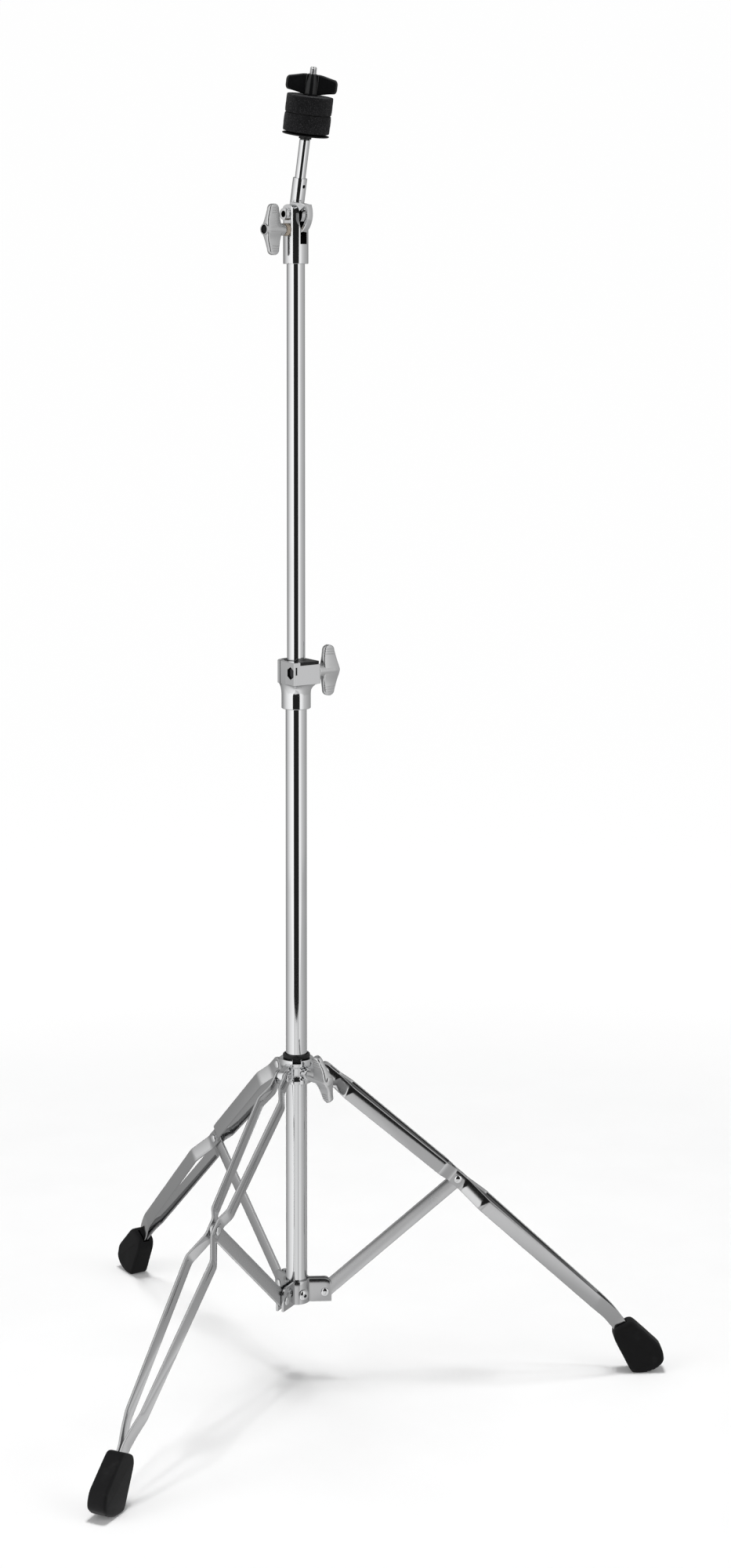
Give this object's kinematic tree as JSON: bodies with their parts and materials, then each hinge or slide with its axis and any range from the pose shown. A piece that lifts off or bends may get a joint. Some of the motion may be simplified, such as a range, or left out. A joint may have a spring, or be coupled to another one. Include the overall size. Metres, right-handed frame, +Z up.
{
  "type": "straight cymbal stand",
  "caption": "Straight cymbal stand: telescoping pole on a folding tripod with double-strip braced legs, a quadrant tilter, and a rod with seat, felts and wing nut.",
  "frame": {"origin": "on the floor under the middle of the stand's bounding box; the pole stands beside it, 93 mm towards -X", "axes": "+Z up along the pole; +X from the pole along leg A; +Y completes a right-handed set"},
  "size_m": [0.5908, 0.6814, 1.3733],
  "materials": {
    "chrome": "bright polished chrome plate",
    "satin_chrome": "satin chrome on die castings",
    "plated_steel": "chrome plate on stamped steel strip",
    "black_nylon": "black moulded nylon",
    "black_gloss": "black moulded plastic, glossy",
    "beige_nylon": "beige nylon",
    "rubber": "black moulded rubber",
    "felt": "dense charcoal felt"
  },
  "bodies": {
    "base": {"base_tube": "chrome", "bracket_plate_A": "plated_steel", "bracket_plate_B": "plated_steel", "bracket_plate_C": "plated_steel", "bracket_screw_A": "chrome", "bracket_screw_B": "chrome", "bracket_screw_C": "chrome", "strut_pin_A": "chrome", "strut_pin_B": "chrome", "strut_pin_C": "chrome", "mid_collar": "satin_chrome", "mid_collar_bushing": "black_nylon", "mid_clamp_bolt": "plated_steel"},
    "collar": {"leg_collar": "chrome", "leg_collar_ring": "black_nylon", "collar_pin_A": "chrome", "collar_pin_B": "chrome", "collar_pin_C": "chrome"},
    "collar_wing": {"leg_collar_wing_bolt": "satin_chrome"},
    "mid_wing": {"mid_wing_nut": "satin_chrome"},
    "plug": {"upper_tube_plug": "black_nylon"},
    "mast": {"upper_tube": "chrome", "tilter_body": "chrome", "tilter_pivot_screw": "chrome", "tilter_pivot_nut": "chrome", "tilter_washer": "beige_nylon"},
    "tilter_wing": {"tilter_wing_screw": "satin_chrome"},
    "arm": {"tilter_arm": "chrome", "cymbal_rod": "chrome"},
    "seat": {"cymbal_seat": "black_nylon"},
    "felt_low": {"lower_felt": "felt"},
    "felt_high": {"upper_felt": "felt"},
    "top_nut": {"top_wing_nut": "black_gloss"},
    "strut_a": {"strut_A": "plated_steel"},
    "leg_a": {"leg_A_left_strip": "plated_steel", "leg_A_right_strip": "plated_steel", "leg_A_rivet": "chrome", "leg_A_foot": "rubber"},
    "strut_b": {"strut_B": "plated_steel"},
    "leg_b": {"leg_B_left_strip": "plated_steel", "leg_B_right_strip": "plated_steel", "leg_B_rivet": "chrome", "leg_B_foot": "rubber"},
    "strut_c": {"strut_C": "plated_steel"},
    "leg_c": {"leg_C_left_strip": "plated_steel", "leg_C_right_strip": "plated_steel", "leg_C_rivet": "chrome", "leg_C_foot": "rubber"}
  },
  "joints": [
    {"name": "fold", "type": "hinge", "parent": "base", "child": "strut_a", "pos_m": [-0.06346, 0, 0.09045], "axis": [0, -1, 0], "range_deg": [-35, 46]},
    {"name": "fold_rivet_a", "type": "hinge", "parent": "strut_a", "child": "leg_a", "pos_m": [0.07685, 0, 0.20778], "axis": [0, 1, 0], "range_deg": [-70, 92]},
    {"name": "fold_collar_a", "type": "hinge", "parent": "leg_a", "child": "collar", "pos_m": [-0.06346, 0, 0.3251], "axis": [0, -1, 0], "range_deg": [-35, 46]},
    {"name": "fold_strut_b", "type": "hinge", "parent": "base", "child": "strut_b", "pos_m": [-0.10808, 0.02576, 0.09045], "axis": [0.866, 0.5, 0], "range_deg": [-35, 46]},
    {"name": "fold_leg_b", "type": "hinge", "parent": "collar", "child": "leg_b", "pos_m": [-0.10808, 0.02576, 0.3251], "axis": [-0.866, -0.5, 0], "range_deg": [-35, 46]},
    {"name": "fold_strut_c", "type": "hinge", "parent": "base", "child": "strut_c", "pos_m": [-0.10808, -0.02576, 0.09045], "axis": [-0.866, 0.5, 0], "range_deg": [-35, 46]},
    {"name": "fold_leg_c", "type": "hinge", "parent": "collar", "child": "leg_c", "pos_m": [-0.10808, -0.02576, 0.3251], "axis": [0.866, -0.5, 0], "range_deg": [-35, 46]},
    {"name": "collar_wing_turn", "type": "hinge", "parent": "collar", "child": "collar_wing", "pos_m": [-0.07917, -0.01797, 0.3251], "axis": [0.6157, -0.788, 0], "continuous": true},
    {"name": "mid_wing_turn", "type": "hinge", "parent": "base", "child": "mid_wing", "pos_m": [-0.07152, -0.00319, 0.74605], "axis": [0.848, 0.5299, 0], "continuous": true},
    {"name": "height", "type": "slide", "parent": "base", "child": "plug", "axis": [0, 0, 1], "range_m": [-0.405, 0.09]},
    {"name": "swivel", "type": "hinge", "parent": "plug", "child": "mast", "pos_m": [-0.09321, 0, 1.22195], "axis": [0, 0, 1], "continuous": true},
    {"name": "tilt", "type": "hinge", "parent": "mast", "child": "arm", "pos_m": [-0.09321, 0, 1.22195], "axis": [0.766, 0.6428, 0], "range_deg": [-24, 74]},
    {"name": "tilter_wing_turn", "type": "hinge", "parent": "mast", "child": "tilter_wing", "pos_m": [-0.10409, -0.00913, 1.20595], "axis": [-0.766, -0.6428, 0], "continuous": true},
    {"name": "seat_lift", "type": "slide", "parent": "arm", "child": "seat", "axis": [0.1193, -0.1422, 0.9826], "range_m": [0, 0.075]},
    {"name": "lower_felt_lift", "type": "slide", "parent": "seat", "child": "felt_low", "axis": [0.1193, -0.1422, 0.9826], "range_m": [0, 0.03]},
    {"name": "upper_felt_lift", "type": "slide", "parent": "felt_low", "child": "felt_high", "axis": [0.1193, -0.1422, 0.9826], "range_m": [0, 0.06]},
    {"name": "top_nut_turn", "type": "hinge", "parent": "felt_high", "child": "top_nut", "pos_m": [-0.07835, -0.01771, 1.34429], "axis": [0.1193, -0.1422, 0.9826], "continuous": true}
  ],
  "couplings": [
    {"joint": "fold_rivet_a", "follows": "fold", "ratio": 2},
    {"joint": "fold_collar_a", "follows": "fold", "ratio": 1},
    {"joint": "fold_strut_b", "follows": "fold", "ratio": 1},
    {"joint": "fold_leg_b", "follows": "fold", "ratio": 1},
    {"joint": "fold_strut_c", "follows": "fold", "ratio": 1},
    {"joint": "fold_leg_c", "follows": "fold", "ratio": 1}
  ]
}
